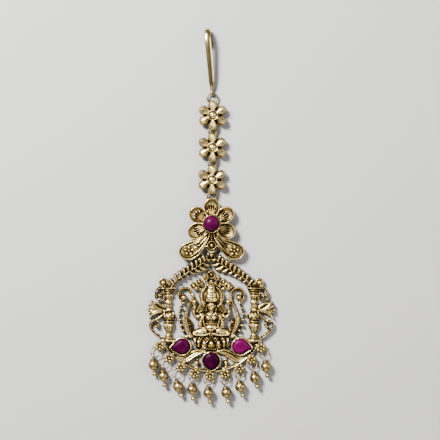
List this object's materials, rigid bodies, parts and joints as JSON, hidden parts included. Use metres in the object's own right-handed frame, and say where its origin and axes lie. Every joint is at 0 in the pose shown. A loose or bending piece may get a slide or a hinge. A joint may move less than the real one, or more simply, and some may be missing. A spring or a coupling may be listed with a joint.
{
  "type": "maang tikka",
  "caption": "Maang tikka forehead ornament: hair hook, linked flowers, blossom with paisley leaves, pierced pendant with seated figure, red stones and bead drops.",
  "frame": {"origin": "under the middle of the whole ornament, on the surface that it lies on", "axes": "+Y runs along the ornament from the bead drops to the hair hook, +Z points out of the figure's face, +X is to the viewer's right when it is seen from the front with the hook up"},
  "size_m": [0.0428, 0.1254, 0.005],
  "materials": {
    "antique_gold": "antique matte gold plate, dark in the recesses",
    "polished_gold": "polished gold plate",
    "bead_gold": "diamond-cut gold plate",
    "ruby": "polished deep ruby-red glass"
  },
  "bodies": {
    "root": {"hair_hook": "polished_gold", "hook_ring": "polished_gold", "chain_flower_1": "antique_gold", "chain_flower_2": "antique_gold", "chain_flower_3": "antique_gold", "chain_ring_1": "polished_gold", "chain_ring_2": "polished_gold", "chain_ring_3": "polished_gold", "blossom": "antique_gold", "blossom_stone": "ruby", "pendant_ring": "polished_gold", "pendant": "antique_gold", "pear_stone_left": "ruby", "pear_stone_right": "ruby", "pear_stone_bottom": "ruby", "drop_ring_1": "polished_gold", "drop_ring_2": "polished_gold", "drop_ring_3": "polished_gold", "drop_ring_4": "polished_gold", "drop_ring_5": "polished_gold", "drop_ring_6": "polished_gold", "drop_ring_7": "polished_gold", "drop_ring_8": "polished_gold", "drop_ring_9": "polished_gold", "drop_bead_1": "bead_gold", "drop_bead_2": "bead_gold", "drop_bead_3": "bead_gold", "drop_bead_4": "bead_gold", "drop_bead_5": "bead_gold", "drop_bead_6": "bead_gold", "drop_bead_7": "bead_gold", "drop_bead_8": "bead_gold", "drop_bead_9": "bead_gold"}
  },
  "joints": []
}
